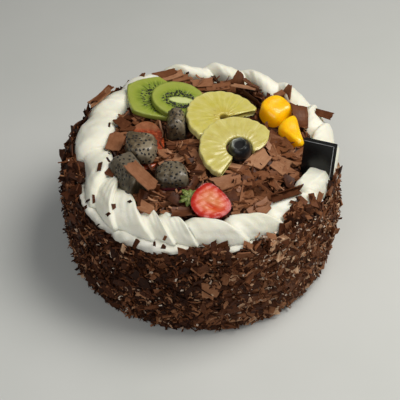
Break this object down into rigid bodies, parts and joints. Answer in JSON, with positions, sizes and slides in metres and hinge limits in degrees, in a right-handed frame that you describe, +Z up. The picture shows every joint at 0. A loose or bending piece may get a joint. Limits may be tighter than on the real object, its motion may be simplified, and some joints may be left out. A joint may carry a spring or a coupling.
{
  "type": "black forest cake",
  "caption": "Round uncut black forest cake: shavings on the side, a piped cream rope border, and fruit and a small bare plaque on a bed of chocolate shavings.",
  "frame": {"origin": "middle of the flat round underside of the cake, where it rests", "axes": "+Z up; -Y is the front, with the half strawberry at the front edge; +X is to the right, where the plaque stands"},
  "size_m": [0.2233, 0.2201, 0.1268],
  "materials": {
    "side_shavings": "fine curly dark chocolate shavings with a dull, slightly waxy sheen, over white cream",
    "cream": "smooth whipped cream, soft satin with faint translucency",
    "top_shavings": "broad milk chocolate shavings, satin on the shaved face with fine scrape lines",
    "kiwi_flesh": "wet cut kiwi: green flesh with pale core, fine rays and black seeds",
    "pineapple_flesh": "wet pale yellow pineapple with fine radial fibres",
    "mango_flesh": "glossy smooth orange-yellow mango",
    "blueberry_skin": "near-black blue skin with a thin bloom, semi-gloss",
    "strawberry_flesh": "wet cut strawberry: pale peach heart, orange streak and red seeded rim",
    "strawberry_leaf": "thin dull green leaf",
    "dragonfruit_flesh": "moist grey-beige dragon fruit flesh full of small black seeds, with a pink-purple underside",
    "plaque_black": "smooth black card with a thin silver line near its edge and no text"
  },
  "bodies": {
    "root": {"kiwi_slice_back": "kiwi_flesh", "kiwi_slice_front": "kiwi_flesh", "pineapple_ring_back": "pineapple_flesh", "pineapple_ring_front": "pineapple_flesh", "mango_chunk_back": "mango_flesh", "mango_chunk_front": "mango_flesh", "blueberry": "blueberry_skin", "strawberry_half": "strawberry_flesh", "strawberry_slice": "strawberry_flesh", "strawberry_calyx": "strawberry_leaf", "dragonfruit_1": "dragonfruit_flesh", "dragonfruit_2": "dragonfruit_flesh", "dragonfruit_3": "dragonfruit_flesh", "dragonfruit_4": "dragonfruit_flesh", "plaque": "plaque_black", "cream_border": "cream", "top_shavings": "top_shavings", "cake_body": "side_shavings"}
  },
  "joints": []
}
